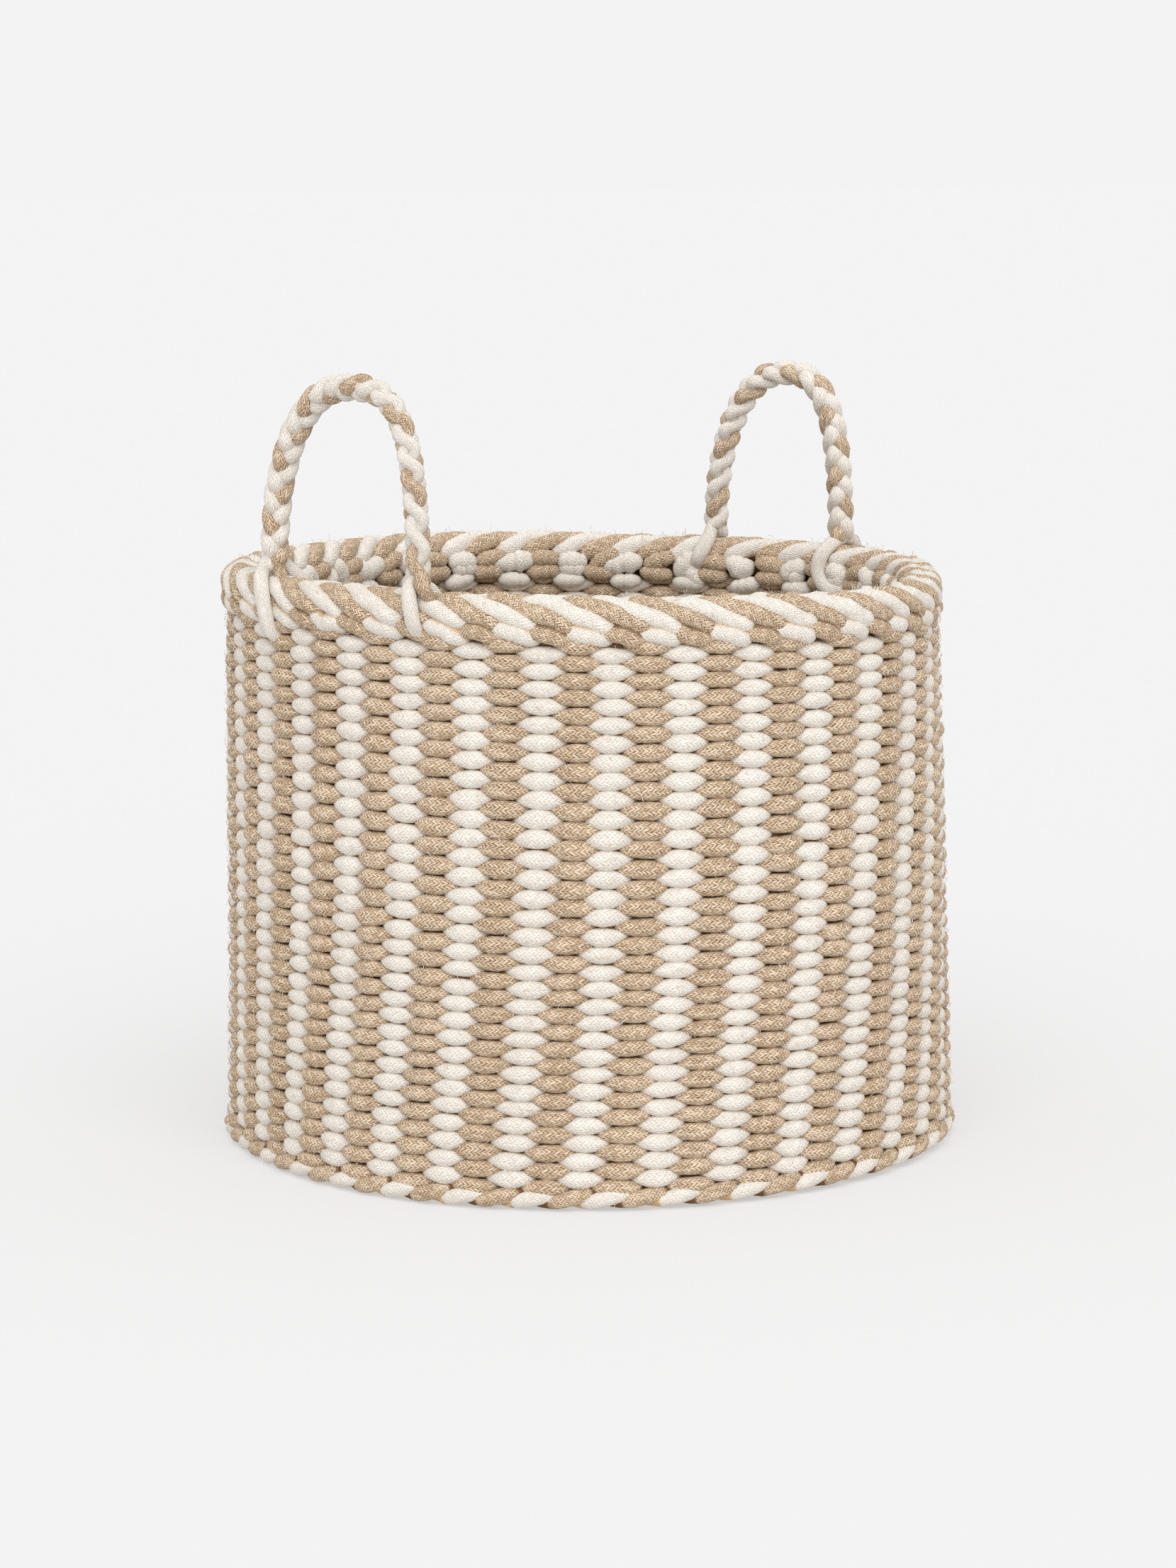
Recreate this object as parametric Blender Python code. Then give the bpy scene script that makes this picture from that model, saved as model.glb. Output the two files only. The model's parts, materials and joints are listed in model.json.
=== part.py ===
"""A round laundry basket woven from thick cotton and jute cord, with two plaited handles.

Metres, +Z up. The basket stands on z = 0 with its axis on Z. Angles are measured from -Y
towards +X, seen from above, so a pair of stakes k stands at k * PAIR_ANGLE.
"""

import math

import bmesh
import bpy
from mathutils import Vector

# ---- driving dimensions ----
RIM_RADIUS = 0.2265        # outside of the wall just under the border
FOOT_RADIUS = 0.2320       # outside of the wall just above the foot
BODY_HEIGHT = 0.366        # floor to the top of the border
CORD = 0.011               # height of one round of weaving
ROUNDS = 30                # rounds of weaving in the wall
ROUNDS_PER_BAND = 3
PAIRS = 33                 # pairs of stakes round the wall
GAP = 0.0003               # clearance between pieces that touch

# ---- wall, from outside to inside ----
OUTER_CORD = 0.0095        # cord on the outside of the stakes
STAKE = 0.0060             # a stake squeezed between the cords
STAKE_CORE = 0.0036        # depth of the stake's solid, which flat-sided bands leave clear
STAKE_INSET = 0.0005       # the flat sides of the bands run inside their true circle
INNER_CORD = 0.0095        # cord on the inside of the stakes
WALL = OUTER_CORD + STAKE + INNER_CORD
FOOT_HEIGHT = 0.0125       # twisted course under the wall
WALL_TOP = FOOT_HEIGHT + ROUNDS * CORD
STAKE_RING = 0.0040        # height of the ring at the foot of the stakes
STAKES_PER_TIE = 6         # stakes between two places where a band's cords cross the wall
TIE = 0.0040               # width of such a crossing
FLATS_PER_TIE = 3          # flat stretches of a band between two crossings

# ---- floor ----
FLOOR_THICK = 0.018
FLOOR_CENTRE = 0.034       # radius of the middle of the floor
FLOOR_COURSES = 4

# ---- border ----
BORDER_LOWER = 0.0090      # height of the lower row of the border
BORDER_FLANK = 0.0075      # depth under the top at which the braid starts to round over
BORDER_SHOULDER = 0.0022   # depth under the top halfway from its middle to its side

# ---- handles ----
LEG_COLUMNS = {"left": (7, 10), "right": (7.5, 10)}   # stake pairs under a handle's two legs
HANDLE_HEIGHTS = {"left": 0.128, "right": 0.1195}     # top of each handle over the border
ARCH_POWERS = {"left": 2.4, "right": 2.1}             # 2 is an ellipse, more is squarer
HANDLE_LEAN = 0.005        # how far the top of each handle leans towards its front leg
STRAND = 0.0046            # diameter of one strand's core
PLAIT_HALF_WIDTH = 0.0056
PLAIT_HALF_DEPTH = 0.0040
PLAIT_TURN = 0.056         # length in which a strand crosses over and back
PLAIT_STRAIGHT = 0.020     # length at each end where the strands run side by side
HINGE_HEIGHT = 0.0120      # height over the border of the line that a handle swings about
STRAND_START = 0.0030      # the strands start this far over that line
ROOT = 0.0090              # diameter of the strand that saddles the border
ROOT_DROP = 0.030          # how far the saddle hangs down each face of the wall
ROOT_SHOULDER = 0.0030     # the saddle bends in from its sides this far under the border's top
ROOT_ROUND = 0.0035        # and it has come this far in when it reaches its top
ROOT_CROWN = 0.0006        # rise of the saddle's middle, and fall of its sides
HANDLE_STEPS = 54          # stretches along a handle
STRAND_SIDES = 5
ROOT_SIDES = 8

PAIR_ANGLE = math.tau / PAIRS
RING_SIDES = 36            # flat sides of every turned ring
FACET = 0.001              # most that a flat side stands in from its true circle
CREAM = (0.82, 0.77, 0.69, 1.0)
TAN = (0.60, 0.45, 0.29, 1.0)


# ---- shared helpers ----
def clear_scene():
    for item in list(bpy.data.objects):
        bpy.data.objects.remove(item, do_unlink=True)


def cord_material(name, colour):
    material = bpy.data.materials.new(name)
    material.use_nodes = True
    shader = material.node_tree.nodes["Principled BSDF"]
    shader.inputs["Base Color"].default_value = colour
    shader.inputs["Roughness"].default_value = 0.92
    shader.inputs["Metallic"].default_value = 0.0
    return material


def add_object(name, bm, colour, parent=None, smooth=True):
    """Turn a bmesh in world coordinates into a named object with its own material."""
    bmesh.ops.recalc_face_normals(bm, faces=bm.faces)
    mesh = bpy.data.meshes.new(name)
    bm.to_mesh(mesh)
    bm.free()
    if smooth:
        mesh.shade_smooth()
        mesh.set_sharp_from_angle(angle=math.radians(40))
    mesh.materials.append(cord_material(name, colour))
    item = bpy.data.objects.new(name, mesh)
    bpy.context.collection.objects.link(item)
    if parent is not None:
        item.parent = parent
        item.matrix_parent_inverse = parent.matrix_basis.inverted()
    return item


def round_point(radius, angle, height):
    return Vector((radius * math.sin(angle), -radius * math.cos(angle), height))


def wall_radius(height):
    """Outside radius of the wall: it narrows evenly from the foot to the border."""
    share = (height - FOOT_HEIGHT) / (WALL_TOP - FOOT_HEIGHT)
    return FOOT_RADIUS + (RIM_RADIUS - FOOT_RADIUS) * share


def turned_ring(name, profile, sides, colour):
    """A closed ring: the (radius, height) profile carried round the Z axis."""
    bm = bmesh.new()
    loops = []
    for step in range(sides):
        angle = math.tau * step / sides
        loops.append([bm.verts.new(round_point(radius, angle, height)) for radius, height in profile])
    for step in range(sides):
        here = loops[step]
        there = loops[(step + 1) % sides]
        for corner in range(len(profile)):
            after = (corner + 1) % len(profile)
            bm.faces.new((here[corner], there[corner], there[after], here[after]))
    return add_object(name, bm, colour)


def tube(name, points, diameter, sides, colour, parent=None):
    """A round cord along a list of points, closed at both ends."""
    bm = bmesh.new()
    normal = None
    loops = []
    for index, point in enumerate(points):
        before = points[max(index - 1, 0)]
        after = points[min(index + 1, len(points) - 1)]
        along = (after - before).normalized()
        if normal is None:
            normal = along.orthogonal().normalized()
        normal = (normal - along * normal.dot(along)).normalized()
        across = along.cross(normal)
        loop = []
        for side in range(sides):
            turn = math.tau * side / sides
            offset = normal * math.cos(turn) + across * math.sin(turn)
            loop.append(bm.verts.new(point + offset * (diameter / 2)))
        loops.append(loop)
    for here, there in zip(loops, loops[1:]):
        for side in range(sides):
            after = (side + 1) % sides
            bm.faces.new((here[side], here[after], there[after], there[side]))
    bm.faces.new(reversed(loops[0]))
    bm.faces.new(loops[-1])
    return add_object(name, bm, colour, parent)


# ---- floor ----
def floor_centre():
    bm = bmesh.new()
    bmesh.ops.create_cone(bm, cap_ends=True, segments=RING_SIDES, radius1=FLOOR_CENTRE,
                          radius2=FLOOR_CENTRE, depth=FLOOR_THICK)
    bmesh.ops.translate(bm, verts=bm.verts, vec=(0, 0, FLOOR_THICK / 2))
    add_object("floor_centre", bm, TAN)


def floor_course(index):
    """One ring of the floor: flat below, with a slightly rounded top."""
    outer_limit = FOOT_RADIUS - WALL - GAP
    width = (outer_limit - FLOOR_CENTRE) / FLOOR_COURSES
    inner = FLOOR_CENTRE + index * width + GAP
    outer = FLOOR_CENTRE + (index + 1) * width - GAP
    shoulder = 0.003
    profile = [(inner, 0), (outer, 0), (outer, FLOOR_THICK - shoulder),
               (outer - shoulder, FLOOR_THICK), (inner + shoulder, FLOOR_THICK),
               (inner, FLOOR_THICK - shoulder)]
    colour = CREAM if index % 2 == 0 else TAN
    turned_ring(f"floor_course_{index + 1}", profile, RING_SIDES, colour)


def foot_course():
    """The twisted two-colour course that the wall stands on, rounded under at the outside."""
    outer = FOOT_RADIUS + 0.001
    inner = FOOT_RADIUS - WALL + GAP
    rounding = 0.005
    profile = [(inner, 0), (outer - rounding, 0), (outer - rounding * 0.3, rounding * 0.3),
               (outer, rounding), (outer, FOOT_HEIGHT - 2 * GAP), (inner, FOOT_HEIGHT - 2 * GAP)]
    turned_ring("foot_course", profile, RING_SIDES, CREAM)


# ---- wall ----
def stake_centre_radius(height):
    return wall_radius(height) - OUTER_CORD - STAKE / 2 - STAKE_INSET


def stakes():
    """The upright stakes, which run up inside the wall from one ring at the foot."""
    half_depth = STAKE_CORE / 2
    half_width = 0.0035
    count = 2 * PAIRS
    foot = FOOT_HEIGHT
    ring_top = foot + STAKE_RING
    top = WALL_TOP - GAP
    half_angle = half_width / stake_centre_radius(foot)
    bm = bmesh.new()
    columns = []
    for step in range(count):
        centre = (step + 0.5) * PAIR_ANGLE / 2
        for angle in (centre - half_angle, centre + half_angle):
            column = []
            for height in (foot, ring_top, top):
                middle = stake_centre_radius(height)
                inside = bm.verts.new(round_point(middle - half_depth, angle, height))
                outside = bm.verts.new(round_point(middle + half_depth, angle, height))
                column.append((inside, outside))
            columns.append(column)
    for index, here in enumerate(columns):
        there = columns[(index + 1) % len(columns)]
        is_stake = index % 2 == 0
        levels = (0, 1, 2) if is_stake else (0, 1)
        for low, high in zip(levels, levels[1:]):
            bm.faces.new((here[low][0], here[high][0], there[high][0], there[low][0]))
            bm.faces.new((here[low][1], there[low][1], there[high][1], here[high][1]))
        highest = levels[-1]
        bm.faces.new((here[0][0], there[0][0], there[0][1], here[0][1]))
        bm.faces.new((here[highest][0], here[highest][1], there[highest][1], there[highest][0]))
        if is_stake:
            for side in (here, there):
                bm.faces.new((side[1][0], side[1][1], side[2][1], side[2][0]))
    # the stakes leave the bands' crossings clear, so the ring is under the lowest band
    add_object("stakes", bm, TAN, smooth=False)


def wall_band(index):
    """Rounds of both weavers: cords outside and inside the stakes, tied across between them."""
    height_low = FOOT_HEIGHT + index * ROUNDS_PER_BAND * CORD + GAP
    height_high = FOOT_HEIGHT + (index + 1) * ROUNDS_PER_BAND * CORD - GAP
    if index == 0:
        height_low += STAKE_RING     # the stakes' own ring lies under the first band
    ties = 2 * PAIRS // STAKES_PER_TIE
    tie_half = TIE / 2 / FOOT_RADIUS
    step = math.tau / ties
    angles = []
    for tie in range(ties):
        centre = tie * step
        angles.append((centre - tie_half, True))
        first = centre + tie_half
        span = step - 2 * tie_half
        angles.extend((first + span * part / FLATS_PER_TIE, False) for part in range(FLATS_PER_TIE))
    bm = bmesh.new()
    columns = []
    for angle, _ in angles:
        rows = []
        for height in (height_low, height_high):
            outside = wall_radius(height)
            radii = (outside - WALL, outside - OUTER_CORD - STAKE, outside - OUTER_CORD, outside)
            rows.append([bm.verts.new(round_point(radius, angle, height)) for radius in radii])
        columns.append(rows)
    for number, (low, high) in enumerate(columns):
        next_low, next_high = columns[(number + 1) % len(columns)]
        is_tie = angles[number][1]
        strips = ((0, 3),) if is_tie else ((0, 1), (2, 3))
        for inner, outer in strips:
            bm.faces.new((low[inner], high[inner], next_high[inner], next_low[inner]))
            bm.faces.new((low[outer], next_low[outer], next_high[outer], high[outer]))
        cells = ((0, 1), (1, 2), (2, 3)) if is_tie else ((0, 1), (2, 3))
        for inner, outer in cells:
            bm.faces.new((low[inner], next_low[inner], next_low[outer], low[outer]))
            bm.faces.new((high[inner], high[outer], next_high[outer], next_high[inner]))
        if is_tie:
            bm.faces.new((low[1], low[2], high[2], high[1]))
            bm.faces.new((next_low[1], next_high[1], next_high[2], next_low[2]))
    colour = CREAM if index % 2 == 0 else TAN
    add_object(f"wall_band_{index + 1:02d}", bm, colour)


# ---- border ----
def border_outer_row():
    """The lower row of slanting stake ends, outside the wall."""
    low = WALL_TOP + GAP
    high = WALL_TOP + BORDER_LOWER - GAP
    outer = RIM_RADIUS
    inner = RIM_RADIUS - WALL / 2 + GAP
    profile = [(inner, low), (outer, low), (outer, high), (inner, high)]
    turned_ring("border_outer_row", profile, RING_SIDES, TAN)


def border_inner_row():
    """The cut ends of the stakes, inside the wall."""
    low = WALL_TOP + GAP
    high = WALL_TOP + BORDER_LOWER - GAP
    outer = RIM_RADIUS - WALL / 2 - GAP
    inner = RIM_RADIUS - WALL
    profile = [(inner, low), (outer, low), (outer, high), (inner, high)]
    turned_ring("border_inner_row", profile, RING_SIDES, CREAM)


def border_braid():
    """The top of the border: bent-over stakes that lie across the wall, rounded on top."""
    low = WALL_TOP + BORDER_LOWER + GAP
    outer = RIM_RADIUS
    inner = RIM_RADIUS - WALL
    middle = (outer + inner) / 2
    flank_height = BODY_HEIGHT - BORDER_FLANK
    shoulder_height = BODY_HEIGHT - BORDER_SHOULDER
    shoulder = WALL / 4
    profile = [(inner, low), (outer, low), (outer, flank_height), (middle + shoulder, shoulder_height),
               (middle, BODY_HEIGHT), (middle - shoulder, shoulder_height), (inner, flank_height)]
    turned_ring("border_braid", profile, RING_SIDES, CREAM)


# ---- handles ----
def leg_angle(side, column):
    sign = -1 if side == "left" else 1
    return sign * column * PAIR_ANGLE


def handle_root(side, number):
    """A strand end that saddles the border under one leg of a handle."""
    angle = leg_angle(side, LEG_COLUMNS[side][number])
    clear = GAP + ROOT / 2
    outside = RIM_RADIUS + clear
    inside = RIM_RADIUS - WALL - FACET - clear
    middle = RIM_RADIUS - WALL / 2
    top = BODY_HEIGHT + clear
    shoulder = BODY_HEIGHT - ROOT_SHOULDER
    route = [(outside, BODY_HEIGHT - ROOT_DROP), (outside, BODY_HEIGHT - ROOT_DROP / 2),
             (outside, shoulder), (outside - ROOT_ROUND, top - ROOT_CROWN),
             (middle, top + ROOT_CROWN), (inside + ROOT_ROUND, top - ROOT_CROWN),
             (inside, shoulder), (inside, BODY_HEIGHT - ROOT_DROP / 2),
             (inside, BODY_HEIGHT - ROOT_DROP)]
    points = [round_point(radius, angle, height) for radius, height in route]
    tube(f"handle_{side}_root_{number + 1}", points, ROOT, ROOT_SIDES, CREAM)


def hinge_frame(side):
    """Middle of a handle's hinge line between its legs, the line's direction, and outwards."""
    radius = RIM_RADIUS - WALL / 2
    height = BODY_HEIGHT + HINGE_HEIGHT
    legs = [round_point(radius, leg_angle(side, column), height) for column in LEG_COLUMNS[side]]
    first, second = legs
    middle = (first + second) / 2
    along = (second - first).normalized()
    outward = along.cross(Vector((0, 0, 1)))
    if outward.dot(Vector((middle.x, middle.y, 0))) < 0:
        outward.negate()
    return middle, along, outward, (second - first).length / 2


def arch_centre(side, share):
    """Centre line of a plait: (along the rim, up) for a share of 0 to 1 from leg to leg."""
    half_span = hinge_frame(side)[3]
    rise = HANDLE_HEIGHTS[side] - HINGE_HEIGHT - PLAIT_HALF_WIDTH - STRAND / 2
    power = 2 / ARCH_POWERS[side]
    turn = math.pi * share
    across = math.copysign(abs(math.cos(turn)) ** power, -math.cos(turn))
    up = abs(math.sin(turn)) ** power
    return half_span * across - HANDLE_LEAN * up ** 2, rise * up


def even_shares(side, count):
    """Shares that space the points of the arch evenly along its length."""
    fine = 2000
    shares = [index / fine for index in range(fine + 1)]
    places = [Vector(arch_centre(side, share)) for share in shares]
    lengths = [0.0]
    for here, there in zip(places, places[1:]):
        lengths.append(lengths[-1] + (there - here).length)
    result = []
    cursor = 0
    for index in range(count + 1):
        wanted = lengths[-1] * index / count
        while cursor < fine - 1 and lengths[cursor + 1] < wanted:
            cursor += 1
        stretch = lengths[cursor + 1] - lengths[cursor]
        part = (wanted - lengths[cursor]) / stretch
        result.append((shares[cursor] + part / fine, wanted))
    return result


def cut_below(points, height):
    """The stretch of a route that lies above a height, with ends exactly at that height."""
    kept = []
    for here, there in zip(points, points[1:]):
        if here.z > height:
            kept.append(here)
        if (here.z > height) != (there.z > height):
            kept.append(here.lerp(there, (height - here.z) / (there.z - here.z)))
    return kept


def plait_turn(length, whole):
    """Angle that a plait has turned through: it ends, as it starts, with its strands in a row."""
    plaited = whole - 2 * PLAIT_STRAIGHT
    sixths = round(6 * plaited / PLAIT_TURN)
    share = min(max((length - PLAIT_STRAIGHT) / plaited, 0), 1)
    return math.tau * share * sixths / 6


def plait_depth(length, whole):
    """Depth of the plait, from flat at each end to full where the strands start to cross."""
    share = min(length, whole - length, PLAIT_STRAIGHT) / PLAIT_STRAIGHT
    return PLAIT_HALF_DEPTH * share * share * (3 - 2 * share)


def handle_strand(side, name, phase, colour, pivot):
    """One of the three strands of a handle, from just over one root to just over the other."""
    middle, along, outward, _ = hinge_frame(side)
    samples = even_shares(side, HANDLE_STEPS)
    whole = samples[-1][1]
    centres = [arch_centre(side, share) for share, _ in samples]
    points = []
    for index, (_, length) in enumerate(samples):
        before = Vector(centres[max(index - 1, 0)])
        after = Vector(centres[min(index + 1, len(centres) - 1)])
        tangent = (after - before).normalized()
        sideways = Vector((-tangent.y, tangent.x))
        turn = plait_turn(length, whole) + phase
        width = PLAIT_HALF_WIDTH * math.sin(turn)
        depth = plait_depth(length, whole) * math.sin(2 * turn)
        place = Vector(centres[index]) + sideways * width
        points.append(middle + along * place.x + Vector((0, 0, place.y)) + outward * depth)
    points = cut_below(points, middle.z + STRAND_START)
    tube(f"handle_{side}_{name}", points, STRAND, STRAND_SIDES, colour, pivot)


def handle(side):
    """Three plaited strands that swing together about the line through their roots."""
    middle = hinge_frame(side)[0]
    pivot = bpy.data.objects.new(f"handle_{side}_pivot", None)
    pivot.location = middle
    bpy.context.collection.objects.link(pivot)
    third = math.tau / 3
    handle_strand(side, "strand_cream_1", 0.0, CREAM, pivot)
    handle_strand(side, "strand_cream_2", third, CREAM, pivot)
    handle_strand(side, "strand_tan", 2 * third, TAN, pivot)
    for number in range(len(LEG_COLUMNS[side])):
        handle_root(side, number)


def build():
    clear_scene()
    floor_centre()
    for index in range(FLOOR_COURSES):
        floor_course(index)
    foot_course()
    stakes()
    for index in range(ROUNDS // ROUNDS_PER_BAND):
        wall_band(index)
    border_outer_row()
    border_inner_row()
    border_braid()
    for side in HANDLE_HEIGHTS:
        handle(side)


build()
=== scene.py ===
"""The looks of a round laundry basket woven from thick cream and tan cord, with plaited handles.

Metres, +Z up. Angles are measured from -Y towards +X, seen from above. A stake is one of the
66 uprights that the cords weave round, and angles round the wall are often counted in stakes.
"""

import json
import math

import bpy
import numpy as np
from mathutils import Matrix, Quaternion, Vector


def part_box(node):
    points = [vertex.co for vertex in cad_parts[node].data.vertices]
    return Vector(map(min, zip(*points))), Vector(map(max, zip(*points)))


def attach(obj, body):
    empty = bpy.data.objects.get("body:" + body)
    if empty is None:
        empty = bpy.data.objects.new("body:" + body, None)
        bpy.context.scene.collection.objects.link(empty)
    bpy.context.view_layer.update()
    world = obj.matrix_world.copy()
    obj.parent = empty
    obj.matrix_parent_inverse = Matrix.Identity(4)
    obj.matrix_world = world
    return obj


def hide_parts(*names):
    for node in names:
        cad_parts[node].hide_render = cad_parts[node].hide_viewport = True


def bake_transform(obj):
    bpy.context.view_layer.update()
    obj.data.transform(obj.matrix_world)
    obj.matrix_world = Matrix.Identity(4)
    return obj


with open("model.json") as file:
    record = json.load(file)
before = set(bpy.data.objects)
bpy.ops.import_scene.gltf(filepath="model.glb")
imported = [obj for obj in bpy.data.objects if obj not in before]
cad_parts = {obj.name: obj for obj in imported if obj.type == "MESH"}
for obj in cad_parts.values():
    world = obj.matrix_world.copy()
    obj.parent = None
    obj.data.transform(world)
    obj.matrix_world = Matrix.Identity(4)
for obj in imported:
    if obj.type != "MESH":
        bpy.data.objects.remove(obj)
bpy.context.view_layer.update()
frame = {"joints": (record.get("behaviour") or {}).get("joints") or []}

# ---- sizes read from the frame: a box is its low corner and its high corner ----
FOOT_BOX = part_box("foot_course")
BAND_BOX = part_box("wall_band_01")
ROW_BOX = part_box("border_outer_row")
BRAID_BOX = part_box("border_braid")
FLOOR_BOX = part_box("floor_centre")
FOOT_RADIUS = BAND_BOX[1].x
RIM_RADIUS = BRAID_BOX[1].x
WALL_LOW = FOOT_BOX[1].z
BORDER_SAG = 0.0052             # how far the outer border hangs over the wall
WALL_TOP = ROW_BOX[0].z - BORDER_SAG
TOP = BRAID_BOX[1].z
FLOOR_THICK = FLOOR_BOX[1].z

# ---- the weave ----
ROUNDS = 30                     # rounds of each weaver in the wall
PAIRS = 33                      # outside, each pair of stakes has a column of cream and one of tan
STAKES = 2 * PAIRS
STAKE_ANGLE = math.tau / STAKES
ROUNDS_PER_PIECE = 3            # rounds of one colour joined in one visible piece
PITCH = (WALL_TOP - WALL_LOW) / ROUNDS
ROW_WAVES = (0.0027, -0.0014, -0.0021)   # how uneven the rows stand: drops in 1, 2 and 3 half waves
WALL = 0.025                    # outside to inside of the wall
CORD_HALF_DEPTH = 0.0060        # half of a cord's thickness, across the wall
CORD_STRETCH = 0.20             # how much thicker a cord is where it crosses the wall, as a share
CREAM_INSET = 0.0009            # the soft cream cord lies this much deeper than the tan one
SWING_POWER = 0.70              # how a cord crosses the wall: 1 is a cosine, less is more sudden
STITCH_ENDS = (0.37, 0.43)      # half height of a stitch at its ends, in pitches: cream, tan
STITCH_MIDDLES = (0.565, 0.540)     # the same at its middle
STITCH_SQUARE = 0.95            # under 1, a stitch's cross-section is squarer than an ellipse
COLUMN_WANDER = 0.045           # how far a column stands from its even place, in stakes
STITCH_WANDER = 0.030           # how far a stitch stands from its column, in stakes
STITCH_SHIFT = 0.00040          # how far a stitch stands over or under its round
STITCH_TILT = 0.045             # how much a stitch slopes
STITCH_FATNESS = 0.035          # how much a stitch's height changes, as a share
STITCH_BULGE = 0.00035          # how far a stitch stands out or in
STEPS = 10                      # cross-sections of a weaver from stake to stake
SIDES = 16                      # corners of a cord's cross-section
ROUGHNESS = 0.00010             # how uneven a cord's surface is
STAKE_OUTSET = 0.0008           # how far the stakes stand out from the middle of the wall
STAKE_HALF_DEPTH = 0.0042
STAKE_HALF_WIDTH = 0.0112
STAKE_STEPS = 30                # cross-sections of a stake
STAKE_SINKS = (0.004, 0.006)    # how far a stake runs on below the wall and above it
HIDDEN_SIDES = 8                # corners of a cord's cross-section where it hardly shows
COLUMN_START = math.radians(-2.0)   # where the first column of stitches stands at the top
TWIST = math.radians(-6.2)      # how far the columns of stitches lean by the foot

# ---- painted shade: how open to the air each cord is, from 0 in a crevice, painted darkest, to 1 ----
INSIDE_SHADE = 0.55             # on the inside of the basket, for its painted shade
STAKE_SHADE = 0.22
CORE_SHADE = 0.1
STITCH_SPREADS = (1.5, 1.12)    # how soon the painted shade fades away from a stitch's crevices: cream, tan
STITCH_TIP_SHADE = 0.30         # how much less open a stitch is at its ends, so that more painted shade lies there

# ---- the soft shape of the whole basket ----
CAMERA_AZIMUTH = math.radians(-48.93)
LEAN = 0.0060                   # how far the top sits to the camera's right of the foot
LEAN_WAY = Vector((math.cos(CAMERA_AZIMUTH), math.sin(CAMERA_AZIMUTH), 0))
RIM_TILT = 0.0073               # how much higher the rim is on its left, seen from the camera
SWELL = (1.014, 1.022)          # how much wider the soft wall stands than its frame, top and foot
FOOT_LIFT = 0.0025              # how far the foot's edge rises on the camera's right
# waves round the basket: how many, and their sizes (cosine, sine) at the top and at the foot
SQUASH = ((2, (0.000, -0.005), (0.012, 0.014)), (3, (-0.002, 0.006), (0.012, 0.012)),
          (4, (-0.014, 0.012), (0.002, -0.010)), (5, (0.006, -0.018), (-0.003, 0.002)))
# small waves that climb round the basket: how many, radians for each metre up, size
RIPPLES = ((7, 23, 0.0010), (11, -31, 0.0008))

# ---- the foot and the floor ----
FOOT_HEIGHT = 0.0063            # middle of the two twined cords
FOOT_INSET = 0.0068             # their middle line, in from the wall's outside
FOOT_TWINE = (0.0028, 0.0017)   # how far they swing round each other, out and up
FOOT_START = -0.7               # where they cross, in stakes
FOOT_HALF_DEPTH = 0.0056
FOOT_HALF_HEIGHT = 0.0049
FLOOR_HALF_DEPTH = 0.0045
FLOOR_CLEARANCE = 0.0001        # how far the floor's cords stay inside its thickness
FLOOR_STAKE_GAP = 0.0215        # from stake to stake in a round of the floor
FLOOR_LEAST_STAKES = 6          # in the smallest round
FLOOR_WIDTHS = (0.285, 0.235)   # half width of a floor cord in pitches, and what a stitch adds
FLOOR_SIDES = 10                # corners of a floor cord's cross-section
FLOOR_COURSES = ["floor_centre"] + [f"floor_course_{number}" for number in range(1, 5)]

# ---- the border ----
STROKE_HALF_DEPTH = 0.0060
STROKE_HALF_HEIGHT = 0.0058
STROKE_WANDER = 0.03            # how far a stroke stands from its even place, in stakes
STROKE_FATNESS = 0.05           # how much its height changes, as a share
KEY_WANDER = (0.03, 0.0004, 0.0006)     # how far each of its points strays: stakes, in, down
CORE_DOWN = 0.0125              # depth of the border's middle line below the top
CORE_HALF = 0.0066
CORE_CORDS = ((0.0125, 0.0100), (0.0125, 0.0200), (0.0095, 0.0180))   # in from the face, down
LUMP_HALF_DEPTH = 0.0066
LUMP_SINK = 0.0024              # how deep in the wall a lump's ends lie
LUMP_RISE = 0.0020              # how far its middle stands out from there
LUMP_UNEVEN = 0.06              # how uneven a lump's surface is, as a share

# ---- the handles ----
LEG_COLUMNS = {"left": (7, 10), "right": (7.5, 10)}   # stake pairs under a handle's legs
ARCH_POWERS = {"left": 2.6, "right": 2.4}             # 2 is an ellipse, more is squarer
HANDLE_SHIFTS = {"left": 0.0105, "right": 0.009}      # how far the top leans to the front leg
HANDLE_RISES = {"left": 0.0, "right": 0.004}          # how far the top stands over its frame
HANDLE_SPANS = {"left": 1.0, "right": 0.91}           # distance between its legs, against the frame
HANDLE_SLIDES = {"left": 0.0045, "right": 0.0}        # how far its legs stand along the rim
HANDLE_BASE = TOP - 0.002       # where the plait ends, on top of the border
PLAIT_TURN = 0.0405             # length in which a strand crosses over and back
PLAIT_HALF_WIDTH = 0.0036
PLAIT_HALF_DEPTH = 0.0036
PLAIT_SWIRL = math.radians(45)  # how far the flat of the plait is turned from facing outwards
ARCH_POINTS = 1500              # points that the arch is measured with
PLAIT_POINTS = 150              # points along the centre line of a plait
PLAIT_RISE = 0.0045             # height over the rim where a strand's tail joins the plait
LONG_PASSES = {"left": 0.30, "right": 0.0}            # how much of a turn the first pass is longer by
LONG_PASS_REACH = 0.030         # length over which that fades out
STRAND_HALF_WIDTH = 0.0049
STRAND_HALF_DEPTH = 0.0041

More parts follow.
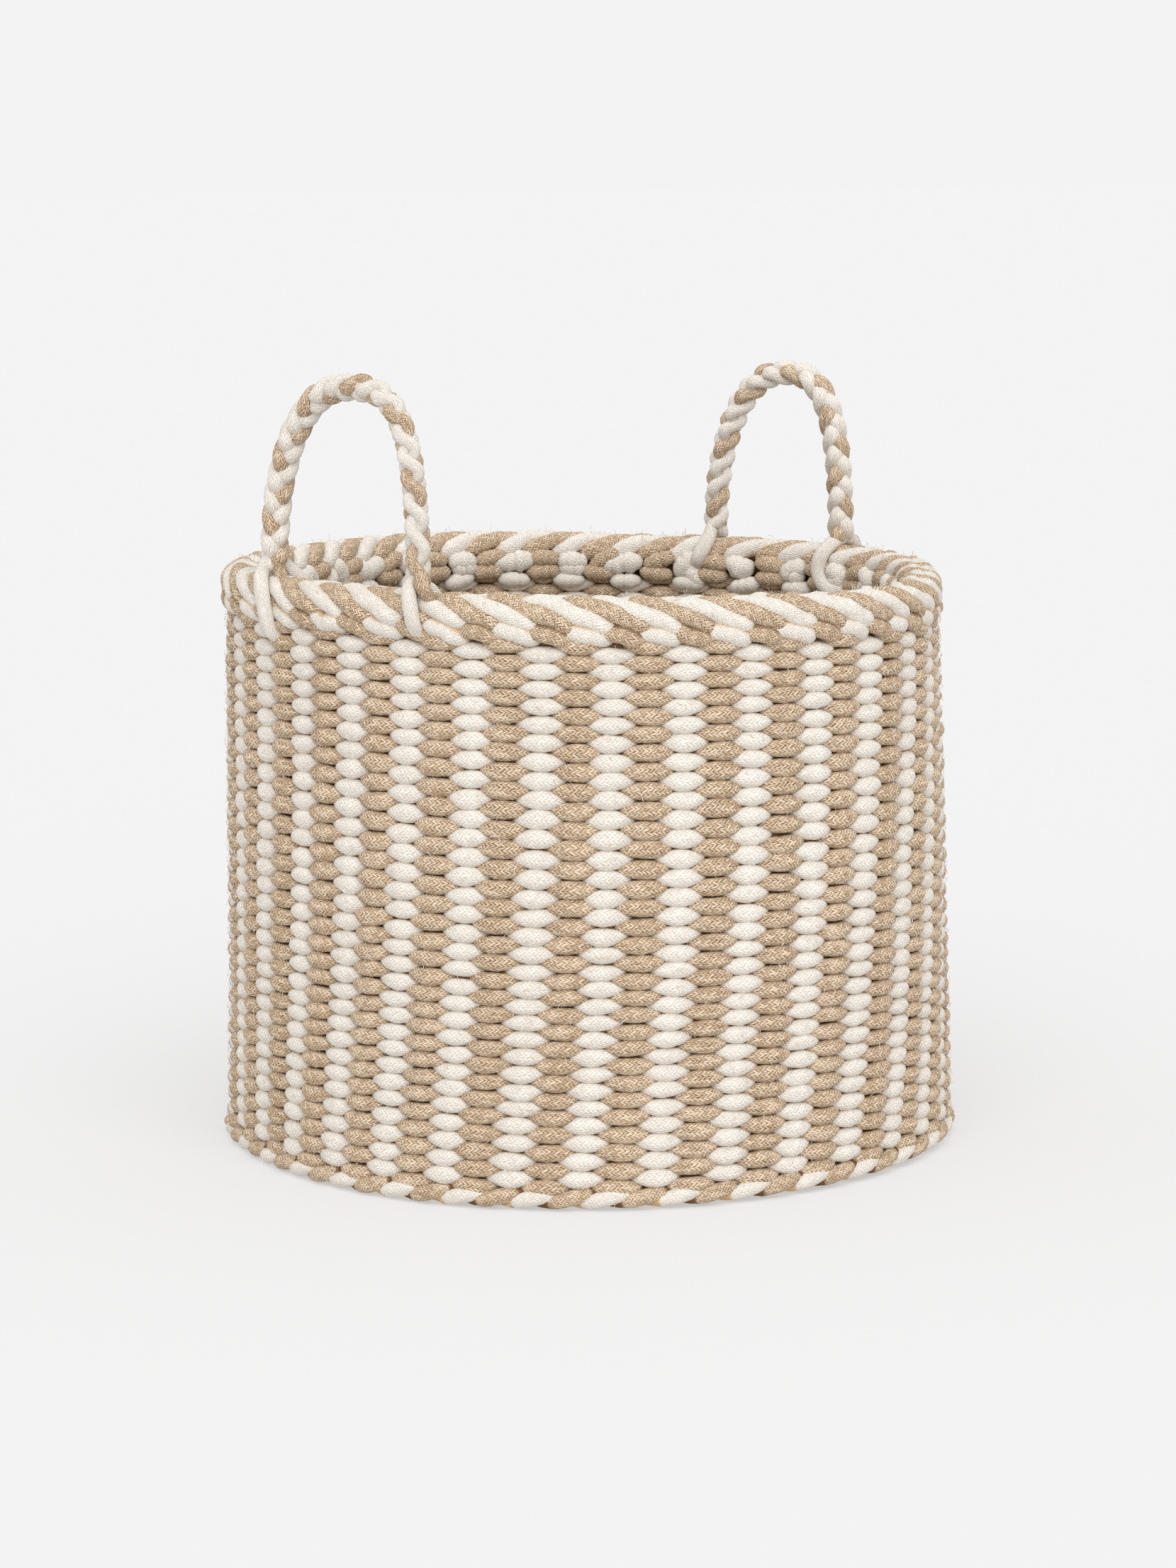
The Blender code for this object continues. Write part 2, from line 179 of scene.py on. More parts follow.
# ---- the yarns on a cord's surface ----
YARN_ROWS = 20.0                # rows of yarns round the cord
YARN_BUNDLE = 0.0038            # length along the cord of two yarns side by side
YARN_ZIGZAG = 0.12              # how far a row sways, in rows
YARN_WOBBLE = (0.90, 0.40)      # how far the pattern strays, in rows and in bundles
YARN_SLANT = 0.52               # how far a yarn leans across its row, in bundles
ROW_EDGE_DROP = 0.45            # how much lower a row is at its edges, as a share
BUNDLE_RELIEF = 0.25            # how high the bundles, yarns, fibres and fluff stand
YARN_RELIEF = 0.80
FIBRE_RELIEF = 0.30
FLUFF_RELIEF = 0.35
GAP_LEAST = 0.34                # how strongly the painted shade between all yarns shows, and how much more between some
GAP_CHANCE = 0.80
STRAY_SCALE = 240.0             # noise waves in a metre: how the pattern strays, fluff, patches
FLUFF_SCALE = 1100.0
PATCH_SCALE = 38.0

# ---- loose fibres ----
FIBRES = 4500                   # of each colour, on the wall and the foot
BORDER_FIBRES = FIBRES // 5     # of each colour, on the border
FIBRE_LENGTHS = (0.0025, 0.0065)
FIBRE_LIFTS = (0.0002, 0.0013)  # how high one stands off its cord
FIBRE_SINKS = (0.0002, 0.0016)  # how deep below the wall's outside one starts
FIBRE_BEND = 0.9                # how far one turns along its length, in radians
FIBRE_POINTS = 4                # cross-sections of a fibre
FIBRE_HALF = 0.00010            # half the thickness of a loose fibre
FIBRE_LOWEST = 0.0010           # no fibre reaches lower, so that none goes through the floor

random = np.random.default_rng(11)
COLUMN_PLACES = random.normal(0, COLUMN_WANDER, STAKES)     # of each column, from its even place


# ---- shape of the whole basket ----
def wall_radius(height):
    """Outside radius of the wall at a height, narrowing from the foot to the border."""
    share = np.clip((height - WALL_LOW) / (WALL_TOP - WALL_LOW), 0, 1)
    return FOOT_RADIUS + (RIM_RADIUS - FOOT_RADIUS) * share


def column_angle(stake, height):
    """Angle of a place counted in stakes: the columns lean more and more towards the foot."""
    share = np.clip((TOP - height) / TOP, 0, 1)
    return stake * STAKE_ANGLE + COLUMN_START + TWIST * share ** 2


def settle(points):
    """Bend perfect rounds into the slightly squashed and leaning shape of a soft basket.

    A wave in the radius comes with a shift along the round that keeps the stitches evenly spaced.
    """
    x, y, z = points[:, 0], points[:, 1], points[:, 2]
    radius = np.hypot(x, y)
    angle = np.arctan2(x, -y) - CAMERA_AZIMUTH
    high = np.clip(z / TOP, 0, 1)
    wave = np.zeros(len(points))
    shift = np.zeros(len(points))
    for count, at_top, at_foot in SQUASH:
        for way, (top_size, foot_size) in enumerate(zip(at_top, at_foot)):
            size = foot_size + (top_size - foot_size) * high
            turned = count * angle - way * math.pi / 2
            wave += size * np.cos(turned)
            shift -= size / count * np.sin(turned)
    for count, climb, size in RIPPLES:
        wave += size * np.sin(count * angle + climb * z)
    new_angle = angle + shift + CAMERA_AZIMUTH
    new_radius = radius * (SWELL[1] + (SWELL[0] - SWELL[1]) * high + wave)
    lean = high * LEAN
    result = points.copy()
    result[:, 0] = new_radius * np.sin(new_angle) + LEAN_WAY.x * lean
    result[:, 1] = -new_radius * np.cos(new_angle) + LEAN_WAY.y * lean
    across = new_radius / RIM_RADIUS * np.sin(new_angle - CAMERA_AZIMUTH)
    result[:, 2] = z - RIM_TILT * high * across + FOOT_LIFT * (1 - high) ** 2 * (1 + across) / 2
    return result


def round_points(radius, angle, height):
    """Points at a radius and an angle round the basket, and a height."""
    return np.stack([radius * np.sin(angle), -radius * np.cos(angle), height + 0 * angle], axis=1)


def unit(vectors):
    """Rows of vectors made one long."""
    return vectors / np.maximum(np.linalg.norm(vectors, axis=1, keepdims=True), 1e-12)


def smooth_path(keys, per_key):
    """A smooth curve through a few chosen rows of numbers (Catmull-Rom)."""
    keys = np.asarray(keys, float)
    padded = np.vstack([2 * keys[0] - keys[1], keys, 2 * keys[-1] - keys[-2]])
    rows = []
    for index in range(1, len(padded) - 2):
        p0, p1, p2, p3 = padded[index - 1:index + 3]
        for step in range(per_key):
            t = step / per_key
            rows.append(0.5 * (2 * p1 + (p2 - p0) * t + (2 * p0 - 5 * p1 + 4 * p2 - p3) * t * t
                               + (3 * p1 - p0 - 3 * p2 + p3) * t ** 3))
    rows.append(padded[-2])
    return np.array(rows)


# ---- cords as meshes ----
def cross_sections(centres, outs, half_depth, half_height, closed, sides, square):
    """Rings of slightly uneven points round a line."""
    if closed:
        along = np.roll(centres, -1, axis=0) - np.roll(centres, 1, axis=0)
    else:
        along = np.gradient(centres, axis=0)
    along = unit(along)
    ups = unit(np.cross(along, outs))
    outs = np.cross(ups, along)
    half_depth = np.broadcast_to(half_depth, len(centres))[:, None]
    half_height = np.broadcast_to(half_height, len(centres))[:, None]
    turn = np.arange(sides) * math.tau / sides
    cosine = np.sign(np.cos(turn)) * np.abs(np.cos(turn)) ** square
    sine = np.sign(np.sin(turn)) * np.abs(np.sin(turn)) ** square
    rough = random.normal(0, ROUGHNESS, (len(centres), sides))
    outward = (half_depth + rough) * cosine
    upward = (half_height + rough) * sine
    return centres[:, None] + outs[:, None] * outward[..., None] + ups[:, None] * upward[..., None]


def side_quads(count, steps, sides):
    """Corner numbers of the quads between the rings of a cord of count rings."""
    here = np.arange(steps)[:, None] * sides
    there = (np.arange(steps)[:, None] + 1) % count * sides
    side = np.arange(sides)
    after = (side + 1) % sides
    return np.stack([here + side, here + after, there + after, there + side], axis=-1)


def side_uvs(length, sides):
    """The same corners in the yarn pattern: metres along the cord, and share of its girth."""
    side = np.arange(sides)
    low, high = length[:-1, None] + 0 * side, length[1:, None] + 0 * side
    left, right = side / sides + 0 * low, (side + 1) / sides + 0 * low
    corners = ((low, left), (low, right), (high, right), (high, left))
    return np.stack([np.stack(corner, -1) for corner in corners], axis=2)


class CordMesh:
    """Collects cords swept along lines, and turns them into one object."""

    def __init__(self):
        self.points = []
        self.loops = []
        self.counts = []
        self.uvs = []
        self.shade = []
        self.used = 0

    def add(self, centres, outs, half_depth, half_height, closed=False, sides=SIDES, shade=1.0,
            square=1.0):
        """One cord. outs point out of the surface that it lies in.

        shade is how open to the air it is, for the painted shade: 0 in a crevice, where it is painted
        darkest.
        square under 1 makes the cross-section squarer than an ellipse.
        """
        count = len(centres)
        rings = cross_sections(centres, outs, half_depth, half_height, closed, sides, square)
        following = np.roll(centres, -1, axis=0) if closed else centres[1:]
        steps = np.linalg.norm(following - centres[:len(following)], axis=1)
        length = np.concatenate([[0.0], np.cumsum(steps)])
        self.points.append(rings.reshape(-1, 3))
        self.loops.append(side_quads(count, len(steps), sides).reshape(-1) + self.used)
        self.counts.append(np.full(len(steps) * sides, 4))
        self.uvs.append(side_uvs(length, sides).reshape(-1, 2))
        self.shade.append(np.broadcast_to(shade, (count, sides)).reshape(-1))
        if not closed:
            self.cap_ends(count, sides, length[-1])
        self.used += count * sides

    def cap_ends(self, count, sides, length):
        """Close the two ends of an open cord."""
        side = np.arange(sides)
        for ring, order, place in ((0, side[::-1], 0.0), (count - 1, side, length)):
            self.loops.append(ring * sides + order + self.used)
            self.counts.append(np.array([sides]))
            self.uvs.append(np.stack([place + 0 * order, order / sides], axis=1))

    def build(self, name, material):
        """All the collected cords as one object, bent into the shape of the soft basket."""
        points = settle(np.concatenate(self.points))
        loops = np.concatenate(self.loops)
        counts = np.concatenate(self.counts)
        mesh = bpy.data.meshes.new(name)
        mesh.vertices.add(len(points))
        mesh.vertices.foreach_set("co", points.astype(np.float32).reshape(-1))
        mesh.loops.add(len(loops))
        mesh.loops.foreach_set("vertex_index", loops.astype(np.int32))
        mesh.polygons.add(len(counts))
        starts = np.concatenate([[0], np.cumsum(counts)[:-1]])
        mesh.polygons.foreach_set("loop_start", starts.astype(np.int32))
        layer = mesh.uv_layers.new(name="cord")
        layer.data.foreach_set("uv", np.concatenate(self.uvs).astype(np.float32).reshape(-1))
        # how open to the air each point is, which the material turns into painted shade
        shade = mesh.attributes.new("unshaded_share", "FLOAT", "POINT")
        shade.data.foreach_set("value", np.concatenate(self.shade).astype(np.float32))
        mesh.update(calc_edges=True)
        mesh.validate()
        mesh.shade_smooth()
        mesh.materials.append(material)
        item = bpy.data.objects.new(name, mesh)
        bpy.context.scene.collection.objects.link(item)
        return item


# ---- materials ----
class Nodes:
    """Short names for building a node tree."""

    def __init__(self, material):
        self.tree = material.node_tree

    def link(self, value, socket):
        """Join a socket to another, or set it to a plain value."""
        if isinstance(value, bpy.types.NodeSocket):
            self.tree.links.new(value, socket)
        else:
            socket.default_value = value

    def math(self, operation, first, second=0.0, third=0.0):
        node = self.tree.nodes.new("ShaderNodeMath")
        node.operation = operation
        for value, socket in zip((first, second, third), node.inputs):
            self.link(value, socket)
        return node.outputs[0]

    def noise(self, vector, scale, detail=2.0, roughness=0.5):
        node = self.tree.nodes.new("ShaderNodeTexNoise")
        node.inputs["Scale"].default_value = scale
        node.inputs["Detail"].default_value = detail
        node.inputs["Roughness"].default_value = roughness
        self.link(vector, node.inputs["Vector"])
        return node.outputs["Fac"]

    def random(self, vector):
        node = self.tree.nodes.new("ShaderNodeTexWhiteNoise")
        self.link(vector, node.inputs["Vector"])
        return node.outputs["Value"]

    def mix(self, factor, first, second):
        node = self.tree.nodes.new("ShaderNodeMix")
        node.data_type = "RGBA"
        self.link(factor, node.inputs["Factor"])
        self.link(first, node.inputs[6])
        self.link(second, node.inputs[7])
        return node.outputs[2]

    def ramp(self, value, low, high):
        node = self.tree.nodes.new("ShaderNodeMapRange")
        node.interpolation_type = "SMOOTHSTEP"
        self.link(value, node.inputs["Value"])
        node.inputs["From Min"].default_value = low
        node.inputs["From Max"].default_value = high
        return node.outputs["Result"]

    def combine(self, x, y, z):
        node = self.tree.nodes.new("ShaderNodeCombineXYZ")
        for value, socket in zip((x, y, z), node.inputs):
            self.link(value, socket)
        return node.outputs[0]


def linear(red, green, blue):
    """A colour given as it looks on a screen, 0 to 255, as linear light."""
    values = [channel / 255 for channel in (red, green, blue)]
    return tuple(v / 12.92 if v <= 0.04045 else ((v + 0.055) / 1.055) ** 2.4 for v in values) + (1.0,)


def yarn_places(nodes, place):
    """Which row, bundle and yarn a point lies on, and its share of the way across its row."""
    uv = nodes.tree.nodes.new("ShaderNodeUVMap")
    uv.uv_map = "cord"
    split = nodes.tree.nodes.new("ShaderNodeSeparateXYZ")
    nodes.link(uv.outputs[0], split.inputs[0])
    along, around = split.outputs[0], split.outputs[1]
    wobble = nodes.math("SUBTRACT", nodes.noise(place, STRAY_SCALE, 3.0, 0.6), 0.5)
    zigzag = nodes.math("PINGPONG", nodes.math("DIVIDE", along, YARN_BUNDLE), 0.5)
    wale = nodes.math("MULTIPLY_ADD", around, YARN_ROWS, nodes.math("MULTIPLY", zigzag, YARN_ZIGZAG))
    wale = nodes.math("MULTIPLY_ADD", wobble, YARN_WOBBLE[0], wale)
    row = nodes.math("FLOOR", wale)
    across = nodes.math("FRACT", wale)
    way = nodes.math("MULTIPLY_ADD", nodes.math("MODULO", row, 2.0), 2.0, -1.0)
    slant = nodes.math("MULTIPLY", nodes.math("MULTIPLY", across, way), YARN_SLANT)
    bundle = nodes.math("ADD", nodes.math("DIVIDE", along, YARN_BUNDLE), slant)
    bundle = nodes.math("MULTIPLY_ADD", wobble, YARN_WOBBLE[1], bundle)
    bundle = nodes.math("ADD", nodes.random(nodes.combine(row, 3.0, 0.0)), bundle)
    yarn = nodes.math("MULTIPLY", bundle, 2.0)
    return row, bundle, yarn, across


def yarn_height(nodes, bundle, yarn_crest, across, fibre, fluff):
    """How high the surface stands: rows of bundles of yarns, with fibres along them and fluff."""
    bundle_crest = nodes.math("SINE", nodes.math("MULTIPLY", nodes.math("FRACT", bundle), math.pi))
    from_middle = nodes.math("ABSOLUTE", nodes.math("MULTIPLY_ADD", across, 2.0, -1.0))
    level = nodes.math("MULTIPLY_ADD", nodes.math("POWER", from_middle, 4.0), -ROW_EDGE_DROP, 1.0)
    ridge = nodes.math("MULTIPLY_ADD", nodes.math("POWER", bundle_crest, 0.5), BUNDLE_RELIEF,
                       nodes.math("MULTIPLY", nodes.math("POWER", yarn_crest, 0.8), YARN_RELIEF))
    height = nodes.math("MULTIPLY", ridge, level)
    height = nodes.math("MULTIPLY_ADD", fibre, FIBRE_RELIEF, height)
    return nodes.math("MULTIPLY_ADD", fluff, FLUFF_RELIEF, height)


def cord_material(name, light, body, gap_shade, crevice, gap_shade_strength):
    """A braided cord: fine slanting yarns in rows that lean alternately left and right.

    Colours: the crests of the yarns, with a painted highlight, their flanks, the painted shade in the
    gaps between them, and the painted shade in the crevices between cords. The last argument is how
    strongly the painted shade in the gaps shows.
    """
    material = bpy.data.materials.new(name)
    material.use_nodes = True
    nodes = Nodes(material)
    tree = material.node_tree
    place = tree.nodes.new("ShaderNodeTexCoord").outputs["Object"]
    row, bundle, yarn, across = yarn_places(nodes, place)
    yarn_random = nodes.random(nodes.combine(nodes.math("FLOOR", yarn), row, 1.0))
    bundle_random = nodes.random(nodes.combine(nodes.math("FLOOR", bundle), row, 2.0))
    yarn_crest = nodes.math("SINE", nodes.math("MULTIPLY", nodes.math("FRACT", yarn), math.pi))
    fibre_place = nodes.combine(nodes.math("MULTIPLY", yarn, 2.4), nodes.math("MULTIPLY", across, 0.8),
                                nodes.math("MULTIPLY", row, 7.0))
    fibre = nodes.noise(fibre_place, 2.0, 4.0, 0.7)
    fluff = nodes.noise(place, FLUFF_SCALE, 3.0, 0.65)
    height = yarn_height(nodes, bundle, yarn_crest, across, fibre, fluff)

    # painted highlight along the crests of the yarns, and a colour that changes at random from yarn to
    # yarn and along the cord
    patch = nodes.noise(place, PATCH_SCALE, 3.0, 0.6)
    tone_and_highlight = nodes.math("MULTIPLY", yarn_random, 0.90)
    tone_and_highlight = nodes.math("MULTIPLY_ADD", fibre, 0.90, tone_and_highlight)
    tone_and_highlight = nodes.math("MULTIPLY_ADD", patch, 0.60, tone_and_highlight)
    tone_and_highlight = nodes.math("MULTIPLY_ADD", nodes.math("POWER", yarn_crest, 1.3), 0.70, tone_and_highlight)
    colour = nodes.mix(nodes.ramp(tone_and_highlight, 1.00, 2.25), body, light)

    # painted shade in the gaps between yarns, darker in some gaps than in others
    gap_shade_mask = nodes.math("SUBTRACT", 1.0, nodes.ramp(height, 0.50, 1.15))
    gap_shade_depth = nodes.math("MULTIPLY_ADD", nodes.math("POWER", bundle_random, 1.5),
                           GAP_CHANCE * gap_shade_strength, GAP_LEAST * gap_shade_strength)
    gap_shade_depth = nodes.math("MINIMUM", gap_shade_depth, 1.0)
    colour = nodes.mix(nodes.math("MULTIPLY", gap_shade_mask, gap_shade_depth), colour, gap_shade)

    # painted shade: darkest where the cord lies deep between others
    unshaded_share = tree.nodes.new("ShaderNodeAttribute")
    unshaded_share.attribute_name = "unshaded_share"
    air = nodes.math("MULTIPLY_ADD", nodes.math("SUBTRACT", fluff, 0.5), 0.5, unshaded_share.outputs["Fac"])
    deep = nodes.math("SUBTRACT", 1.0, nodes.ramp(air, 0.05, 0.55))
    colour = nodes.mix(nodes.math("MULTIPLY", deep, 0.9), colour, crevice)

    bump = tree.nodes.new("ShaderNodeBump")
    bump.inputs["Strength"].default_value = 0.8
    bump.inputs["Distance"].default_value = 0.0005
    tree.links.new(height, bump.inputs["Height"])
    shader = tree.nodes["Principled BSDF"]
    tree.links.new(colour, shader.inputs["Base Color"])
    tree.links.new(bump.outputs[0], shader.inputs["Normal"])
    shader.inputs["Roughness"].default_value = 0.92
    shader.inputs["Specular IOR Level"].default_value = 0.05
    return material


# colours of the crests with their painted highlight, of the flanks, of the painted shade between yarns
# and of the painted shade between cords, then how strongly the shade between yarns shows
CREAM = cord_material("cream_cotton_cord", linear(239, 234, 226), linear(224, 217, 207),
                      linear(178, 156, 130), linear(206, 166, 116), 0.52)
TAN = cord_material("tan_jute_cord", linear(229, 209, 184), linear(181, 154, 124),
                    linear(76, 48, 22), linear(106, 68, 30), 1.0)
COLOURS = {"cream": (CREAM, "cream_cord"), "tan": (TAN, "tan_cord")}


def fibre_material(name, colour):
    """A plain light material for single hairs."""
    material = bpy.data.materials.new(name)
    material.use_nodes = True
    shader = material.node_tree.nodes["Principled BSDF"]
    shader.inputs["Base Color"].default_value = colour
    shader.inputs["Roughness"].default_value = 0.9
    shader.inputs["Specular IOR Level"].default_value = 0.1
    return material


FIBRE_MATERIALS = {"cream": fibre_material("cream_fibre", linear(250, 246, 240)),
                   "tan": fibre_material("tan_fibre", linear(226, 204, 178))}


def place_piece(item, colour, body, *nodes):
    """Give a piece its body, and hide the CAD nodes that it stands for."""
    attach(item, body)
    if nodes:
        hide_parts(*nodes)


# ---- wall ----
def stitch_shade(radial_out, turn_cosine, spread, tip):
    """How open to the air each point of a weaver is, for the painted shade: dark low down between the
    stitches.
    """
    facing = np.clip(turn_cosine * radial_out[:, None], -1, 1)
    outside = np.where(radial_out[:, None] > 0, 1.0, INSIDE_SHADE)
    shade = np.clip(facing * spread, 0, 1) * outside
    return np.clip(shade * (1 - STITCH_TIP_SHADE * tip[:, None]), 0, 1)


def row_height(row):
    """Height of a round, counted from the foot. Rounds are packed unevenly up the wall."""
    share = 1 - row / ROUNDS
    drop = sum(size * math.sin((number + 1) * math.pi * share) for number, size in enumerate(ROW_WAVES))
    return WALL_LOW + row * PITCH - drop


def weaver_round(mesh, row, first_out):
    """One round of a weaver: outside one stake, inside the next.

    first_out is 0 for cream, which is outside the even stakes, and 1 for tan.
    """
    height = row_height(row)
    pitch = row_height(row + 0.5) - row_height(row - 0.5)
    stake = np.arange(STAKES * STEPS) / STEPS
    phase = stake + first_out
    swing = np.cos(np.pi * phase)
    swing = np.sign(swing) * np.abs(swing) ** SWING_POWER
    nearest = np.round(stake).astype(int) % STAKES
    offset = stake - np.round(stake)
    window = np.cos(np.pi * offset) ** 2
    shift = random.normal(0, STITCH_SHIFT, STAKES)[nearest]
    tilt = random.normal(0, STITCH_TILT, STAKES)[nearest]
    fatness = 1 + random.normal(0, STITCH_FATNESS, STAKES)[nearest]
    bulge = random.normal(0, STITCH_BULGE, STAKES)[nearest]
    spacing = RIM_RADIUS * STAKE_ANGLE
    level = height + window * (shift + tilt * offset * spacing)
    tip, full = STITCH_ENDS[first_out], STITCH_MIDDLES[first_out]
    half_height = pitch * (tip + (full - tip) * window) * (1 + (fatness - 1) * window)
    middle = wall_radius(height) - WALL / 2 - (CREAM_INSET if first_out == 0 else 0)
    radius = middle + (WALL / 2 - CORD_HALF_DEPTH + bulge * window) * swing
    jitter = COLUMN_PLACES + random.normal(0, STITCH_WANDER, STAKES)
    aside = np.interp(stake, np.arange(STAKES + 1), np.append(jitter, jitter[0]))
    angle = column_angle(stake + aside, level)
    centres = round_points(radius, angle, level)
    outs = round_points(1, angle, 0)
    half_depth = CORD_HALF_DEPTH * (1 + CORD_STRETCH * (1 - window))
    turn = np.arange(SIDES) * math.tau / SIDES
    shade = stitch_shade(np.sign(swing), np.cos(turn)[None], STITCH_SPREADS[first_out], 1 - window)
    mesh.add(centres, outs, half_depth, half_height, closed=True, shade=shade, square=STITCH_SQUARE)


def wall():
    """Every round of both weavers, in pieces that match the CAD bands."""
    for piece in range(ROUNDS // ROUNDS_PER_PIECE):
        for colour, first_out, below in (("cream", 0, 0.5), ("tan", 1, 0.0)):
            mesh = CordMesh()
            for number in range(ROUNDS_PER_PIECE):
                row = piece * ROUNDS_PER_PIECE + number
                weaver_round(mesh, row + below, first_out)
            if colour == "tan" and piece == ROUNDS // ROUNDS_PER_PIECE - 1:
                weaver_round(mesh, ROUNDS, first_out)
            item = mesh.build(f"weaver_{colour}_{piece + 1:02d}", COLOURS[colour][0])
            nodes = (f"wall_band_{piece + 1:02d}",) if colour == "cream" else ()
            place_piece(item, colour, "basket", *nodes)


def stakes():
    """The upright cords inside the wall, squeezed flat between the weavers, painted mostly in the
    crevice shade.
    """
    mesh = CordMesh()
    height = np.linspace(WALL_LOW - STAKE_SINKS[0], WALL_TOP + STAKE_SINKS[1], STAKE_STEPS)
    for stake in range(STAKES):
        angle = column_angle(stake, height)
        centres = round_points(wall_radius(height) - WALL / 2 + STAKE_OUTSET, angle, height)
        outs = round_points(1, angle, 0)
        mesh.add(centres, outs, STAKE_HALF_DEPTH, STAKE_HALF_WIDTH, sides=HIDDEN_SIDES,
                 shade=STAKE_SHADE)
    place_piece(mesh.build("stake_cords", TAN), "tan", "basket", "stakes")


# ---- foot and floor ----
def foot():
    """Two cords twined round each other under the wall."""
    stake = np.arange(STAKES * STEPS) / STEPS
    swing_out, swing_up = FOOT_TWINE
    for colour, start in (("cream", 0.0), ("tan", math.pi)):
        mesh = CordMesh()
        turn = np.pi * (stake + FOOT_START) + start
        height = FOOT_HEIGHT + swing_up * np.sin(turn)
        radius = FOOT_RADIUS - FOOT_INSET + swing_out * np.cos(turn)
        angle = column_angle(stake, height)
        centres = round_points(radius, angle, height)
        outs = round_points(1, angle, 0)
        # painted shade: open on the side that faces away from the other cord, and less where the two
        # cross
        facing = np.cos(np.arange(SIDES) * math.tau / SIDES)[None] * np.sign(np.cos(turn))[:, None]
        shade = np.clip(0.35 + 0.7 * facing, 0, 1) * (0.55 + 0.45 * np.abs(np.cos(turn))[:, None])
        mesh.add(centres, outs, FOOT_HALF_DEPTH, FOOT_HALF_HEIGHT, closed=True, shade=shade)
        item = mesh.build(f"foot_cord_{colour}", COLOURS[colour][0])
        nodes = ("foot_course",) if colour == "cream" else ()
        place_piece(item, colour, "basket", *nodes)


def floor_round(mesh, radius, first_out):
    """One round of weaving in the floor, over and under the stakes that run to the middle."""
    count = max(FLOOR_LEAST_STAKES, 2 * round(math.pi * radius / FLOOR_STAKE_GAP))
    steps = 6
    stake = np.arange(count * steps) / steps
    phase = np.cos(np.pi * (stake + first_out))
    angle = stake * math.tau / count
    middle = FLOOR_THICK / 2
    height = middle + (middle - FLOOR_HALF_DEPTH - FLOOR_CLEARANCE) * phase
    centres = round_points(radius, angle, height)
    outs = round_points(0, angle, 1)
    least, more = FLOOR_WIDTHS
    half_width = PITCH * (least + more * phase ** 2)
    mesh.add(centres, outs, FLOOR_HALF_DEPTH, half_width, closed=True, sides=FLOOR_SIDES)


def basket_floor():
    """The woven floor: rounds of both colours, a ring of each matching a CAD course.

    The two rounds under the wall close the floor to the foot, and belong to the outermost course.
    """
    outermost = FOOT_RADIUS - WALL - PITCH / 2
    meshes = {}
    radius = outermost + PITCH
    number = 0
    while radius > PITCH / 2:
        place = min(radius, outermost)
        course = next(name for name in FLOOR_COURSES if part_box(name)[1].x > place)
        colour = "cream" if number % 2 == 0 else "tan"
        mesh = meshes.setdefault((course, colour), CordMesh())
        floor_round(mesh, radius, number % 2)
        radius -= PITCH / 2
        number += 1
    replaced = set()
    for (course, colour), mesh in meshes.items():
        item = mesh.build(f"{course}_{colour}", COLOURS[colour][0])
        nodes = () if course in replaced else (course,)
        replaced.add(course)
        place_piece(item, colour, "basket", *nodes)


# ---- border ----
def border_stroke(mesh, stake, keys, from_inside, half_depth, half_height):
    """A cord in the border. keys: stakes along, depth in from the face, depth below the top."""
    rows = smooth_path(keys, 4)
    along, inward, down = rows[:, 0], rows[:, 1], rows[:, 2]
    depth = (WALL - inward) if from_inside else inward
    height = TOP - down
    angle = column_angle(stake + along, height)
    radius = wall_radius(height) - depth
    centres = round_points(radius, angle, height)
    outs = round_points(WALL / 2 - depth, angle, CORE_DOWN - down)
    ends = np.minimum(np.arange(len(rows)), np.arange(len(rows))[::-1]) / 2
    size = np.sqrt(np.clip(1 - (1 - np.clip(ends, 0, 1)) ** 2, 0.1, 1))
    mesh.add(centres, unit(outs), half_depth * size, half_height * size, shade=border_shade(len(rows)))


def border_shade(count):
    """For the painted shade: open on the outside of a cord, closed where it dives under its neighbours.
    """
    turn = np.cos(np.arange(SIDES) * math.tau / SIDES)[None]
    end = np.sin(np.linspace(0, math.pi, count))[:, None]
    return np.clip((0.18 + 1.1 * np.clip(turn - 0.12, 0, 1)) * (0.45 + 0.9 * end), 0, 1)


